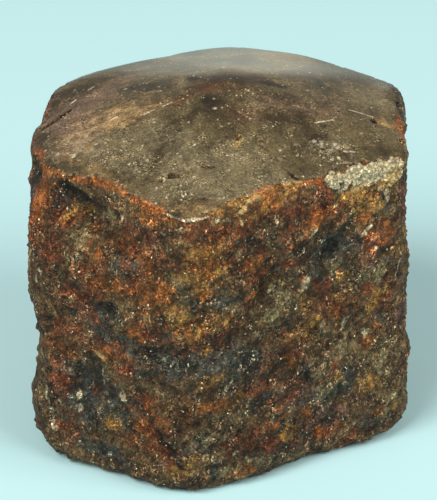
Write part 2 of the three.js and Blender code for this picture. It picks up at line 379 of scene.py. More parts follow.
# %% Raise the rind's relief
LUMP = {"size": 1.7, "octaves": 4}
LUMP_RISE = 0.15
OCTAVE_FALL = 0.7
OCTAVE_STEP = 2.1
RIDGE = {"long": 2.6, "wide": 0.55, "climb": math.radians(38), "rise": 0.19}
RIDGE_NOISE = {"size": 1.0, "octaves": 3, "seed": 5.0}
RIDGES_END = (44, 38)
BEND = {"size": 0.9, "octaves": 2}
BEND_SEEDS = (1.0, 2.0, 3.0)
BEND_REACH = 0.3
FLAKE = {"size": 1.15, "seed": 11.0}
FLAKE_RISE = 0.17
SMALL_FLAKE = {"size": 0.6, "seed": 23.0}
SMALL_FLAKE_RISE = 0.075
TILT_SEED = 7.3
# Seams are sunk a little, and their darkening is painted shade.
SEAM = {"wide": 0.22, "deep": 0.08, "darkening": 0.18, "small": 0.6}
GRAIN = {"size": 0.34, "octaves": 2, "seed": 31.0}
GRAIN_RISE = 0.025
BASE_FADE = (0.02, 0.5)
RIM_FADE = (0.2, 1.5)


def lumps(points, size, octaves=1, seed=0.0):
    """Noise from about -1 to 1, with lumps of that size in millimetres."""
    shift = Vector((seed, -seed, seed / 2))
    spots = [Vector(point) / size + shift for point in points]
    return np.array([noise.fractal(spot, OCTAVE_FALL, OCTAVE_STEP, octaves) for spot in spots])


def facets(points, size, seed):
    """Small flat facets, each of them tilted its own way, and the seams between them as 0 to 1."""
    heights, seams = [], []
    for point in points:
        spot = Vector(point) / size + Vector((seed, seed, seed))
        distances, centres = noise.voronoi(spot)
        tilt = noise.noise_vector(centres[0] * TILT_SEED)
        heights.append(tilt.dot(spot - centres[0]))
        seams.append(distances[1] - distances[0])
    return np.array(heights), 1 - smoothstep(np.array(seams), 0, SEAM["wide"])


def ridge_places(girths, heights, far):
    """Places stretched along the climbing ridges."""
    along = girths * math.cos(RIDGE["climb"]) + heights * math.sin(RIDGE["climb"])
    across = heights * math.cos(RIDGE["climb"]) - girths * math.sin(RIDGE["climb"])
    return np.stack([along / RIDGE["long"], across / RIDGE["wide"], far], 1)


seam_free = np.where(girth > whole_girth / 2, girth - whole_girth, girth)
ridges = lumps(ridge_places(seam_free, height, facing[:, 0]), **RIDGE_NOISE)
back_fade = smoothstep(np.abs(seam_free), *RIDGES_END)
bends = np.stack([lumps(places, **BEND, seed=seed) for seed in BEND_SEEDS], 1)
bent = places + BEND_REACH * bends
flakes, seams = facets(bent, **FLAKE)
small_flakes, small_seams = facets(bent, **SMALL_FLAKE)
relief = LUMP_RISE * lumps(places, **LUMP)
relief += FLAKE_RISE * flakes + SMALL_FLAKE_RISE * small_flakes - SEAM["deep"] * seams
relief += RIDGE["rise"] * ridges * back_fade
relief += GRAIN_RISE * lumps(places, **GRAIN)
rind = smoothstep(from_dome, *RIM_FADE) * smoothstep(height, *BASE_FADE)
relief *= rind
seams = np.maximum(seams, SEAM["small"] * small_seams) * rind
print(f"the rind's relief runs from {relief.min():.2f} to {relief.max():.2f} mm")

# %% [markdown]
# ## The rim and the pits of the dome
#
# Grinding the dome left a crisp rim, and the brittle rind chipped away along it. The polish stops at
# small pits and at a shell-like chip by the front edge. A patch of white grains stands proud at the
# right of the rim. The solid gives the crystal's bends only roughly, so low swells under the dome and
# hollows in the sides, a few millimetres wide, bring the outline closer to the real one.

# %% Nibble the rim, sink pits and hollows, raise swells and white grains
RIM_CHIP = {"size": 0.7, "octaves": 2, "seed": 47.0}
CHIPPED = (0.0, 0.45)
CHIP_DEEP = 0.12
CHIP_REACH = 0.4
PITS = [
    # x, y, long, wide, turn, deep
    (-3.6, -10.0, 1.1, 0.35, -5, 0.35),
    (-4.4, -10.3, 0.45, 0.35, 0, 0.3),
    (-4.2, -10.9, 0.7, 0.3, 0, 0.1),
    (-1.2, -9.4, 0.9, 0.25, 5, 0.14),
    (1.0, -6.1, 0.35, 0.45, 0, 0.35),
    (5.0, -9.1, 0.7, 0.3, -20, 0.1),
    (-1.6, -11.9, 3.6, 0.25, -4, 0.08),
    (11.1, -1.1, 0.7, 0.5, 20, 0.35),
    (12.9, 3.0, 0.6, 0.9, 10, 0.25),
    (-12.2, 0.1, 2.6, 0.4, 42, 0.3),
]
SWELLS = [
    # x, y, long, wide, turn, rise
    (0.6, 3.4, 5.0, 3.6, 0, 0.15),
    (-4.5, 9.0, 4.0, 2.4, 0, 0.12),
    (5.0, 10.2, 5.0, 2.8, 0, 0.25),
    (-10.0, 6.6, 9.0, 3.6, 30, 0.3),
    (13.2, 4.8, 2.6, 4.6, 0, 0.4),
]
SWELL_HEIGHTS = (18.5, 21.5)
HOLLOWS = [
    # girth, height, long, wide, turn, deep
    (-10.9, 21.6, 3.2, 1.5, -14, 0.55),
    (-15.6, 21.8, 3.0, 2.4, 0, 0.75),
    (6.0, 15.6, 0.7, 2.4, 8, 0.25),
    (-1.5, 3.7, 5.0, 0.7, -52, 0.25),
    (11.8, 16.8, 3.6, 1.2, 38, 0.2),
    (-6.5, 13.6, 1.9, 1.0, 0, 0.2),
    (-8.4, 6.6, 4.0, 3.0, 0, 0.05),
    (9.5, 7.7, 0.9, 1.6, 0, 0.2),
]
WHITE_GRAIN = {"size": 0.42, "rise": 0.4, "reach": 0.8, "sunk": 0.45}
RAGGED = {"size": 0.8, "octaves": 3, "seed": 3.0}
RAGGED_REACH = 0.35
WHITE_SOFT = 0.2
WHITE_PATCHES = [
    # from x, y, z, to x, y, z, half width
    ((7.6, -8.4, 22.3), (9.6, -7.2, 22.3), 0.5),
    ((9.6, -7.2, 22.3), (12.7, -5.5, 22.0), 0.82),
]


def oval(across, up, long, wide, turn=0.0):
    """1 in the middle of an oval, a half at its edge and 0 far outside it."""
    angle = math.radians(turn)
    u = (across * math.cos(angle) + up * math.sin(angle)) / (long / 2)
    v = (up * math.cos(angle) - across * math.sin(angle)) / (wide / 2)
    return 0.5 ** (u * u + v * v)


def round_grains(points, size):
    """Round grains: 1 on top of each one and 0 between them."""
    nearest = [noise.voronoi(Vector(point) / size)[0][0] for point in points]
    return 1 - np.clip(np.array(nearest) / WHITE_GRAIN["reach"], 0, 1) ** 2


def from_line(points, start, end):
    """The distance from each point to a straight line between two ends."""
    start, along = np.array(start), np.subtract(end, start)
    share = np.clip((points - start) @ along / (along @ along), 0, 1)
    return np.linalg.norm(points - start - share[:, None] * along, axis=1)


def round_distance(value, middle):
    """The signed distance round the prism from a middle."""
    return (value - middle + whole_girth / 2) % whole_girth - whole_girth / 2


def dome_oval(x, y, *shape):
    """An oval on the plan."""
    return oval(places[:, 0] - x, places[:, 1] - y, *shape)


def side_oval(middle, level, *shape):
    """An oval on the sides."""
    return oval(round_distance(girth, middle), height - level, *shape)


chip = smoothstep(lumps(places, **RIM_CHIP), *CHIPPED)
relief -= CHIP_DEEP * chip * np.exp(-(from_rim / CHIP_REACH) ** 2)
pits = np.zeros(len(places))
for *shape, deep in PITS:
    pits = np.maximum(pits, deep * dome_oval(*shape) ** 2)
pits *= dome
swells = np.zeros(len(places))
for *shape, rise in SWELLS:
    swells += rise * dome_oval(*shape)
ragged = RAGGED_REACH * lumps(places, **RAGGED)
white = np.zeros(len(places))
for start, end, wide in WHITE_PATCHES:
    away = from_line(places, start, end) + ragged
    white = np.maximum(white, smoothstep(away, wide + WHITE_SOFT, wide - WHITE_SOFT))
grains_up = round_grains(places, WHITE_GRAIN["size"]) - WHITE_GRAIN["sunk"]
white_rise = white * WHITE_GRAIN["rise"] * grains_up
relief += white_rise - pits
for *shape, deep in HOLLOWS:
    relief -= deep * side_oval(*shape) ** 2 * (1 - dome)
swells *= smoothstep(height, *SWELL_HEIGHTS)
shaped = places + facing * (relief + swells)[:, None]
shaped[:, 2] = np.maximum(shaped[:, 2], 0)
set_points(mesh, shaped)
print(f"{len(PITS)} pits are sunk, the deepest {pits.max():.2f} mm")

# %% [markdown]
# ## Minerals of the rind
#
# What looks like dirt is a set of minerals. Iron oxides give rust red, orange and ochre; fine mica gives
# khaki and cream; the corundum itself shows slate blue and plum where the rind is thin; manganese
# oxide gives black in cracks and hollows. Each patch on the two front faces is placed one by one, as an
# oval of girth, height, length, width and tilt. Wide, faint zones of the same minerals lie under the
# patches and set the overall hue. The hidden sides get zones and patches of the same minerals and sizes
# from a seeded scatter. Along the rim, iron has stained a narrow band, and on the left face a few thin
# upright slivers of mica are painted pale: partly their own colour, partly painted glints of
# their flakes.

# %% Place the patches on the sides
SIDE_PATCHES = {
    # girth, height, length, width, and the tilt in degrees where there is one
    "rust": [
        (-13.5, 19.0, 2.2, 7.0), (-7.6, 15.2, 2.0, 2.1), (-9.1, 14.1, 3.0, 1.6), (-7.4, 6.9, 1.3, 1.1),
        (-10.2, 6.8, 2.3, 2.7, 10), (-11.1, 17.0, 2.8, 2.6), (-2.1, 3.9, 6.9, 1.2, -52),
        (11.2, 21.2, 1.4, 2.2), (10.3, 20.3, 2.6, 1.6), (15.7, 16.2, 2.8, 1.0, 35), (8.3, 16.9, 2.0, 0.9),
        (11.2, 14.1, 1.5, 1.9), (12.1, 12.4, 1.6, 1.4, 30), (9.5, 10.8, 0.9, 1.2), (14.9, 13.1, 1.3, 1.7),
        (11.2, 2.5, 2.4, 1.3), (6.6, 2.9, 2.0, 1.2), (11.8, 7.5, 1.2, 1.1), (3.8, 20.5, 5.0, 1.2, 10),
        (2.4, 13.5, 1.2, 1.6), (-10.3, 11.3, 2.5, 1.6), (-4.7, 9.4, 2.0, 1.6), (-3.0, 7.1, 1.7, 1.0),
        (5.6, 7.5, 2.9, 1.1, 25), (-4.4, 15.6, 2.4, 1.4), (-4.9, 19.0, 2.8, 1.3, -15),
        (2.2, 20.6, 3.6, 1.0, 8), (-10.8, 19.6, 1.4, 1.8),
    ],
    "limonite": [
        (-3.2, 21.6, 2.8, 1.8, -25), (-13.6, 20.6, 1.5, 4.2), (-8.5, 19.0, 1.0, 1.2),
        (-7.6, 17.7, 0.6, 1.3), (-10.9, 9.9, 1.7, 1.3), (-9.4, 9.4, 1.4, 1.1),
        (-6.5, 10.2, 2.6, 1.1, -10), (-3.8, 12.3, 1.5, 1.5), (-3.2, 18.0, 0.8, 1.5),
        (-2.1, 19.4, 0.7, 0.7), (1.7, 18.2, 1.8, 1.9), (-2.1, 16.0, 2.2, 1.5), (-4.7, 6.1, 0.5, 0.6),
        (-2.4, 3.1, 0.9, 0.7), (5.0, 20.9, 0.5, 0.5), (1.5, 20.0, 0.6, 0.6), (4.7, 17.6, 1.1, 1.7, 20),
        (5.0, 15.6, 0.8, 2.8), (6.9, 22.1, 1.8, 1.7, 25), (1.2, 16.0, 1.2, 0.9), (9.2, 15.3, 0.7, 1.0),
        (10.3, 20.3, 0.8, 0.5), (9.5, 13.2, 0.5, 0.5), (1.2, 7.2, 1.5, 1.1), (2.4, 7.2, 2.1, 0.8, 5),
        (-6.7, 15.6, 2.6, 2.0), (6.6, 4.4, 0.8, 1.0), (4.1, 1.4, 1.4, 1.0), (8.3, 9.0, 1.1, 1.2),
        (9.5, 4.7, 1.4, 0.9), (10.9, 2.7, 0.9, 0.7), (15.7, 10.0, 0.9, 0.8), (14.9, 8.6, 1.4, 1.2, 20),
        (16.3, 17.9, 0.8, 1.1), (14.7, 19.0, 0.8, 1.0), (16.6, 17.3, 1.0, 2.5), (15.5, 2.8, 1.4, 0.7, 10),
    ],
    "ochre": [
        (1.3, 18.4, 3.3, 4.2), (-0.3, 14.2, 2.1, 1.9), (-10.7, 19.7, 0.6, 0.7),
        (-5.9, 4.5, 1.3, 1.7, -50), (-0.3, 2.5, 1.3, 2.2, -60), (0.6, 13.4, 1.4, 1.7),
        (1.5, 11.7, 1.0, 0.9), (12.7, 14.9, 1.2, 0.8), (9.5, 13.6, 1.2, 1.5), (10.3, 11.6, 1.4, 0.9),
        (15.7, 12.5, 1.6, 0.9), (1.5, 9.0, 1.9, 1.1), (12.1, 6.5, 1.2, 0.9), (14.9, 5.5, 1.8, 1.4),
        (8.3, 3.4, 1.8, 1.4), (17.2, 2.7, 0.9, 0.9), (14.6, 21.0, 5.2, 1.5, 12), (17.2, 22.0, 0.9, 1.4),
        (7.0, 21.7, 5.2, 0.6, 22), (15.0, 19.8, 2.6, 1.2, 10), (-9.7, 20.2, 1.8, 1.0, -14),
    ],
    "sericite": [
        (3.2, 20.0, 0.8, 1.1), (4.1, 18.7, 0.7, 1.5), (9.2, 19.1, 0.8, 1.1), (12.1, 15.8, 1.0, 0.7),
        (6.9, 15.0, 0.8, 1.0), (6.6, 13.1, 1.6, 1.7, 15), (3.2, 14.6, 1.4, 0.8), (3.2, 5.8, 1.0, 0.9),
        (3.8, 4.7, 1.2, 1.3), (1.2, 4.6, 0.7, 1.2), (10.9, 10.9, 1.4, 1.3), (15.7, 13.9, 1.0, 1.2),
        (12.1, 1.0, 1.0, 0.8), (15.5, 6.7, 1.2, 0.9), (10.9, 8.1, 2.2, 1.3, 14),
        (-7.3, 20.4, 2.2, 1.0, -20), (16.3, 8.1, 1.3, 1.2), (2.9, 1.6, 1.3, 1.1),
    ],
    "slate": [
        (-11.3, 20.9, 2.2, 1.6, -10), (-6.5, 13.3, 2.6, 1.2), (-9.1, 12.6, 1.4, 1.0),
        (-5.6, 11.3, 4.5, 1.5, -8), (-5.0, 10.7, 2.5, 1.5), (-8.4, 6.6, 5.4, 5.0), (-4.9, 17.3, 2.4, 2.0),
        (-0.6, 10.9, 5.2, 3.8), (2.8, 10.5, 6.5, 2.1, -6), (12.1, 17.2, 3.2, 2.5, 38),
        (2.9, 15.3, 2.6, 0.9), (14.0, 17.1, 2.4, 1.4, 20), (16.3, 19.8, 1.4, 1.4), (10.0, 15.6, 1.4, 0.8),
        (3.2, 11.5, 1.3, 1.3), (9.5, 7.7, 1.2, 1.8), (16.3, 10.5, 1.2, 1.1), (2.1, 2.0, 0.9, 1.5),
        (16.3, 15.1, 1.2, 0.6), (13.0, 6.5, 1.4, 1.4), (0.3, 15.5, 1.0, 0.8), (11.8, 5.4, 3.3, 1.2, 10),
        (-6.8, 2.1, 5.0, 1.5, -10), (1.2, 4.2, 2.5, 1.6), (3.0, 8.1, 1.6, 1.4),
    ],
    "plum": [
        (-3.2, 20.0, 2.5, 1.4), (14.7, 19.6, 1.4, 1.0), (3.2, 17.7, 1.0, 0.7), (15.5, 17.0, 1.6, 0.8, 30),
        (14.7, 15.2, 1.2, 1.7, 40), (14.0, 10.7, 0.8, 1.4), (2.1, 13.6, 1.2, 1.7), (18.2, 9.9, 1.2, 3.3),
        (18.2, 19.7, 1.2, 3.1), (9.2, 6.0, 3.3, 1.6), (11.4, 3.8, 3.6, 2.0), (-8.8, 20.6, 2.0, 0.8, -20),
    ],
    "manganese": [
        (-11.0, 22.2, 1.4, 0.8, -35), (-6.6, 13.6, 1.1, 0.6), (6.0, 15.6, 0.6, 1.8, 8),
        (5.6, 17.0, 0.7, 1.0), (15.5, 18.6, 0.6, 1.0), (9.5, 7.7, 0.8, 1.4), (-1.5, 3.7, 5.0, 0.6, -52),
        (-3.2, 11.2, 2.5, 1.0), (11.8, 16.8, 2.2, 1.0, 38), (-11.1, 11.8, 1.5, 0.7),
        (-10.8, 21.8, 3.2, 1.3, -16), (-9.6, 21.5, 2.0, 0.8, -20),
    ],
    "mica": [
        (-5.9, 20.7, 0.6, 0.7), (13.0, 21.3, 1.2, 0.5, 10), (15.2, 21.1, 1.1, 0.6),
        (16.5, 20.6, 0.7, 1.0), (-10.9, 4.1, 0.5, 0.5), (2.4, 21.6, 0.34, 0.34), (4.1, 20.7, 0.34, 0.34),
        (7.5, 16.6, 0.6, 0.5), (10.3, 19.2, 0.5, 0.6), (9.5, 14.9, 0.6, 0.8), (10.9, 11.4, 0.5, 0.5),
        (13.0, 10.9, 0.4, 0.7), (14.7, 9.4, 0.6, 0.7), (17.5, 17.8, 0.34, 0.34), (15.5, 15.9, 0.34, 0.34),
        (6.9, 4.7, 0.5, 0.4), (1.5, 2.2, 0.34, 0.34), (0.6, 3.3, 0.34, 0.34), (1.5, 3.2, 0.34, 0.34),
        (3.8, 2.9, 0.34, 0.34), (4.7, 2.1, 0.34, 0.34), (13.6, 2.4, 0.34, 0.34), (9.5, 1.8, 0.34, 0.34),
        (-0.5, 21.0, 0.34, 0.34), (-2.1, 15.3, 0.34, 0.34), (17.5, 13.2, 0.6, 0.7),
        (-12.0, 15.2, 0.4, 0.6),
    ],
    "gold": [
        (17.3, 21.8, 1.3, 1.8), (7.9, 22.4, 0.7, 0.4, 25), (3.9, 21.4, 0.7, 0.4, 25),
        (14.4, 21.2, 1.6, 0.7, 10), (-6.9, 9.9, 0.6, 0.5), (5.1, 22.3, 1.6, 0.35, 22),
    ],
}
print(f"{sum(map(len, SIDE_PATCHES.values()))} patches have their places on the sides")

# %% Place the zones on the sides
SIDE_ZONES = {
    # girth, height, length, width, and the tilt in degrees where there is one
    "rust": [
        (-11.7, 19.1, 2.0, 7.1), (-8.2, 15.8, 4.5, 4.8, 10), (-8.6, 13.2, 4.1, 2.9),
        (-5.3, 19.5, 5.0, 2.9, -20), (-2.9, 18.7, 4.1, 4.8), (1.3, 21.5, 5.0, 2.9),
        (5.1, 21.2, 5.0, 2.9, 15), (9.2, 21.1, 5.8, 2.9, 15), (12.9, 19.8, 4.1, 2.1, 10),
        (15.2, 16.8, 3.0, 3.7), (16.5, 12.0, 2.0, 4.0), (11.7, 12.7, 5.0, 3.7, 20),
        (-11.1, 9.0, 3.0, 2.9), (-7.0, 10.5, 5.0, 2.4), (-2.9, 12.7, 4.1, 3.7), (2.2, 13.1, 5.5, 4.0),
        (4.2, 3.8, 5.8, 2.9), (8.4, 3.0, 4.0, 2.2, 15), (13.4, 1.1, 3.3, 2.1), (-9.6, 3.5, 3.0, 2.9),
        (7.6, 10.3, 4.6, 2.9, 25), (5.5, 17.6, 3.0, 4.8), (8.0, 6.6, 5.0, 1.9, 25),
        (-2.9, 4.8, 2.5, 5.6, -50), (3.6, 19.2, 2.6, 2.8), (8.4, 18.7, 3.0, 2.2), (-4.6, 17.0, 2.6, 2.2),
    ],
    "limonite": [
        (-2.9, 15.9, 3.6, 4.8, 10), (1.3, 18.8, 4.1, 4.0), (-2.0, 22.1, 3.6, 1.6, -25),
        (-5.3, 10.4, 3.3, 1.3, -10), (0.1, 13.0, 3.6, 3.5), (5.7, 17.0, 2.1, 4.4),
        (6.9, 22.1, 3.3, 1.6, 20), (11.0, 20.0, 3.8, 1.7, 15), (0.9, 7.2, 4.6, 1.6, 5),
        (-2.9, 5.2, 2.0, 4.4, -50), (-10.2, 9.2, 3.0, 1.3), (15.0, 18.0, 1.5, 2.9),
        (12.5, 12.0, 2.1, 2.1), (-12.7, 20.3, 1.0, 4.8), (-4.9, 18.8, 3.4, 1.8, -10),
        (-7.0, 15.2, 3.2, 2.4),
    ],
    "ochre": [
        (1.9, 18.0, 3.6, 4.0), (0.1, 13.8, 3.0, 2.9), (2.2, 13.9, 3.0, 2.1), (-1.6, 15.5, 1.7, 3.7, 10),
        (15.4, 11.6, 2.1, 2.9), (12.9, 13.1, 2.1, 1.4), (3.4, 7.2, 2.1, 1.4), (9.2, 11.0, 3.0, 2.1),
        (6.6, 21.8, 5.5, 1.1, 22),
    ],
    "slate": [
        (-7.0, 12.3, 4.6, 2.1, -10), (-8.6, 7.8, 5.5, 3.7, -15), (-6.0, 6.1, 5.5, 4.4),
        (-1.2, 10.5, 4.6, 2.9), (3.4, 9.6, 6.3, 2.9, -5), (5.9, 6.6, 4.6, 1.9),
        (11.5, 16.7, 5.0, 3.7, 35), (-10.6, 21.3, 2.6, 1.4, -25), (9.2, 15.8, 2.5, 1.4),
        (10.7, 5.7, 5.5, 2.1, 10), (-4.3, 9.7, 3.0, 2.1), (-0.8, 3.1, 3.3, 2.4), (15.0, 2.2, 3.3, 2.4),
        (5.1, 19.4, 2.5, 1.6), (8.0, 2.6, 9.0, 2.6, 10), (14.6, 19.7, 2.1, 1.1),
    ],
    "umber": [
        (0.5, 11.2, 5.5, 2.8), (9.5, 2.6, 8.0, 3.0, 12), (-10.6, 21.5, 2.4, 1.2, -20),
        (5.5, 19.4, 4.0, 2.0, 10), (8.0, 18.6, 1.6, 2.4), (9.0, 17.4, 2.6, 2.6), (-11.7, 19.7, 1.2, 2.4),
        (5.5, 7.6, 2.0, 1.6), (5.4, 12.2, 2.0, 1.8),
    ],
    "sericite": [
        (12.5, 8.3, 4.6, 3.5, 15), (15.7, 6.6, 3.0, 4.4), (7.2, 14.0, 3.2, 2.4, 10),
        (11.7, 6.2, 3.8, 2.9, 15), (1.7, 4.4, 3.8, 2.1), (-0.4, 15.9, 2.1, 2.9),
        (14.0, 14.4, 2.1, 2.1, 20), (16.8, 3.2, 1.5, 2.9), (5.1, 1.8, 4.6, 1.4), (-9.3, 18.2, 2.1, 2.9),
    ],
}
print(f"{sum(map(len, SIDE_ZONES.values()))} zones have their places on the sides")

# %% Paint the sides
HIDDEN = {"from": 19.5, "to": 74.5, "lowest": 1.0, "highest": 22.0, "tilts": (-15, 50)}
PATCH_EDGE = {"size": 1.3, "octaves": 3}
WANDER = 0.45
WANDER_SEEDS = (61.0, 83.0)
SCATTER_SEED = 7
SIDE_ZONE_STRENGTH = 0.7

mineral_weights = {name: np.zeros(len(places)) for name in {**SIDE_PATCHES, **SIDE_ZONES}}
random = np.random.default_rng(SCATTER_SEED)
wanders = [WANDER * lumps(places, **PATCH_EDGE, seed=seed) for seed in WANDER_SEEDS]
wander_round, wander_up = wanders


def hidden_patches(patches):
    """Patches of the same sizes as the listed ones, and as dense, on the hidden sides."""
    share = (HIDDEN["to"] - HIDDEN["from"]) / (whole_girth - HIDDEN["to"] + HIDDEN["from"])
    made = []
    for index in random.integers(0, len(patches), round(len(patches) * share)):
        long, wide = patches[index][2:4]
        place = random.uniform((HIDDEN["from"], HIDDEN["lowest"]), (HIDDEN["to"], HIDDEN["highest"]))
        made.append((*place, long, wide, random.uniform(*HIDDEN["tilts"])))
    return made


def paint(name, share):
    """Raises a mineral's weight to the share where it is lower."""
    np.maximum(mineral_weights[name], share, out=mineral_weights[name])


def add_patches(name, across, up, patches, mask):
    """Paints ovals with wandering edges into a mineral's weights, within the mask."""
    for middle, level, *shape in patches:
        paint(name, oval(across(middle), up - level, *shape) * mask)


def side_across(middle):
    """The wandering distance round the sides from a middle."""
    return round_distance(girth + wander_round, middle)


for table, strength in ((SIDE_ZONES, SIDE_ZONE_STRENGTH), (SIDE_PATCHES, 1)):
    for name, patches in table.items():
        every = patches + hidden_patches(patches)
        add_patches(name, side_across, height + wander_up, every, (1 - dome) * strength)
        print(f"{name}: {len(every)} places on the sides")

# %% Stain the rim and lay the slivers
# Pale slivers of mica, partly their own colour and partly painted glints of their flakes.
SLIVERS = [
    # from girth, height, to girth, height, width
    (-8.8, 6.3, -8.5, 5.1, 0.32), (-11.5, 5.9, -11.2, 4.8, 0.26), (-10.9, 3.9, -10.5, 2.8, 0.26),
    (-6.9, 8.7, -6.7, 7.6, 0.22), (-6.5, 7.1, -6.0, 6.3, 0.2), (-5.1, 7.3, -4.9, 6.5, 0.42),
    (-12.6, 14.8, -12.5, 14.3, 0.2), (2.7, 7.9, 3.4, 8.8, 0.24),
    (14.4, 17.4, 15.2, 18.3, 0.2), (17.6, 13.4, 17.9, 14.6, 0.2), (9.7, 14.4, 9.9, 15.2, 0.22),
    (-2.3, 21.2, -1.9, 20.6, 0.2), (12.6, 10.4, 13.4, 11.2, 0.2),
]
SLIVER_STRENGTH = 1.1
RIM_STAINS = [
    # mineral, from girth, to girth, width
    ("limonite", -14.5, -2.0, 0.28),
    ("ochre", 2.5, 9.0, 0.35),
    ("limonite", 21.5, 24.0, 0.3),
    ("slate", 25.0, 34.0, 0.4),
    ("plum", 34.0, 73.0, 0.35),
]
RIM_STAIN_END = 0.6
RIM_STAIN_NOISE = {"size": 0.9, "octaves": 2, "seed": 29.0}
RIM_STAIN_MEAN = 0.8
RIM_STAIN_VARY = 0.5

uneven = RIM_STAIN_MEAN + RIM_STAIN_VARY * lumps(places, **RIM_STAIN_NOISE)
for name, start, end, wide in RIM_STAINS:
    along = round_distance(girth, (start + end) / 2)
    inside = smoothstep(np.abs(along), (end - start) / 2 + RIM_STAIN_END, (end - start) / 2)
    paint(name, inside * 0.5 ** ((from_rim / wide) ** 2) * uneven)
wrapped = np.stack([seam_free, height], 1)
for start_round, start_up, end_round, end_up, wide in SLIVERS:
    away = from_line(wrapped, (start_round, start_up), (end_round, end_up))
    paint("mica", SLIVER_STRENGTH * 0.5 ** ((2 * away / wide) ** 2) * (1 - dome))
print(f"{len(RIM_STAINS)} stains follow the rim, and {len(SLIVERS)} slivers of mica stand out")

# %% [markdown]
# ## Minerals under the polish
#
# The dome was ground through the rind into the crystal, so its colours are softer and its patches are
# cut flat. Around the tip there is a dark, reddish core. A rust vein runs from it to the left into an
# ochre patch. Pale wedges spread to the front with darker rays between them, as growth sectors do in
# corundum. They are drawn as polygons with soft edges. Scratches and veins are strokes, and specks of
# mica are tiny ovals, some of them listed and the rest scattered from the same seed.

# %% Place sectors, zones and patches on the dome
SECTORS = {
    # corners on the plan
    "sericite": [
        [(-10.1, -5.8), (-8.9, -5.1), (-7.0, -4.2), (-5.3, -3.1), (-4.0, -4.2), (-4.6, -7.6), (-5.8, -10.5),
         (-8.1, -8.4), (-10.0, -7.0)],
        [(-2.9, -4.4), (-1.9, -6.3), (-1.0, -7.8), (-0.3, -6.3), (1.9, -6.2), (2.7, -7.2), (5.4, -9.7),
         (2.9, -11.1), (0.8, -12.3), (-1.6, -12.0), (-4.0, -12.3), (-5.4, -12.0), (-5.7, -11.0),
         (-4.3, -8.1)],
    ],
    "ochre": [
        [(-9.0, -1.8), (-8.5, -0.9), (-6.9, -1.0), (-4.6, -2.0), (-5.3, -2.9), (-6.9, -4.1), (-8.2, -4.4),
         (-9.1, -3.8)],
    ],
}
SECTOR_EDGE = 0.65
SECTOR_STRENGTH = 0.7
DOME_ZONES = {
    # x, y, length, width, and the turn in degrees where there is one
    "umber": [
        (0.3, -0.6, 7.5, 5.0), (6.6, -5.4, 4.6, 3.0, -10), (9.8, -5.0, 3.2, 1.8, 25),
        # The zones at y 6.0, back left and back right, are painted shade that dims the sheen of the back
        # slopes.
        (5.6, -8.2, 2.2, 2.0), (1.0, -4.6, 2.4, 2.0), (0.4, 0.7, 6.5, 2.8), (-7.0, 6.0, 6.5, 2.4, 22),
        (8.0, 6.0, 6.0, 2.4, -20),
    ],
    "ochre": [
        (-8.2, -2.4, 6.5, 4.4, 20), (-9.0, -8.4, 6.5, 0.9, -38), (-10.6, -4.4, 3.0, 3.6, 30),
        (-1.9, -12.8, 3.8, 1.3),
    ],
    "plum": [
        (3.4, -1.8, 4.0, 1.8, -10), (8.0, 0.2, 4.0, 1.6), (6.2, -2.0, 6.0, 2.6),
        (-8.0, 3.6, 5.0, 2.4, 20),
    ],
    "rust": [
        (-0.6, -0.6, 5.0, 2.4), (1.6, -3.6, 2.6, 2.6), (-3.2, -1.9, 3.0, 1.4, 20),
    ],
    "sericite": [
        (-3.8, -6.0, 2.4, 3.6), (2.0, -2.6, 1.2, 3.4),
    ],
}
DOME_PATCHES = {
    # x, y, length, width, and the turn in degrees where there is one
    "umber": [
        # The patch at x 3.5, right of the tip, is partly dark crest colour and partly painted shadow under
        # the sheen.
        (-1.0, -2.9, 1.8, 2.6, -20), (0.4, 0.7, 4.8, 2.6), (1.4, 1.4, 2.0, 1.2), (3.5, 0.6, 3.0, 1.0),
        (0.9, -4.0, 1.6, 0.7),
    ],
    "slate": [
        (-5.9, 1.6, 4.6, 1.4, -14), (7.0, 2.4, 2.0, 2.4), (11.7, 4.2, 0.6, 1.0), (12.7, 3.0, 0.6, 1.2),
        (-2.0, 1.2, 1.4, 1.6),
    ],
    "rust": [
        (-1.4, -0.8, 2.2, 1.0), (12.8, 0.3, 0.6, 2.4), (-13.1, -4.6, 0.7, 2.2, 10),
    ],
    "limonite": [
        (3.1, -10.9, 1.8, 0.9, 25), (12.3, -0.8, 0.9, 0.6), (6.4, -9.2, 1.2, 0.5, 30),
        (-13.2, -4.4, 0.4, 1.4, 10),
    ],
    "ochre": [
        (11.9, -0.7, 1.4, 0.9, 15), (-8.0, -2.6, 1.4, 0.8, 30),
    ],
    "gold": [
        (0.9, -6.5, 0.8, 1.1), (11.8, -0.9, 0.8, 0.6, 15),
    ],
    "sericite": [
        (-3.2, 0.7, 1.0, 2.2), (8.3, -5.2, 1.4, 1.2), (10.6, 2.6, 3.0, 3.6),
    ],
    "manganese": [
        # The patch at x 3.6, right of the tip, is partly dark mineral and partly painted shadow under the
        # sheen.
        (-2.0, 1.2, 0.9, 0.9), (0.2, 0.7, 2.4, 1.0), (3.6, 0.6, 2.2, 0.6), (-0.9, -2.7, 0.9, 1.2, -20),
        (7.2, -3.7, 0.8, 0.6), (-3.6, -10.0, 1.0, 0.3, -5), (-4.4, -10.3, 0.4, 0.3),
        (1.0, -6.1, 0.3, 0.4), (-1.2, -9.4, 0.8, 0.2, 5), (11.1, -1.1, 0.6, 0.4, 20),
        (12.8, 3.0, 0.5, 0.8), (-12.2, 0.1, 2.5, 0.3, 42),
    ],
    "plum": [
        (-11.0, -1.5, 3.6, 7.5, 20), (-9.5, 1.5, 4.5, 3.5, 30), (-10.8, -5.2, 2.4, 2.4),
    ],
}
DOME_FLECKS = {
    "mica": [(7.4, -5.9, 3.0, 2.2, 0), (-10.2, -4.6, 4.0, 4.4, 30)],
}
print(f"{sum(map(len, DOME_PATCHES.values()))} patches have their places on the dome")

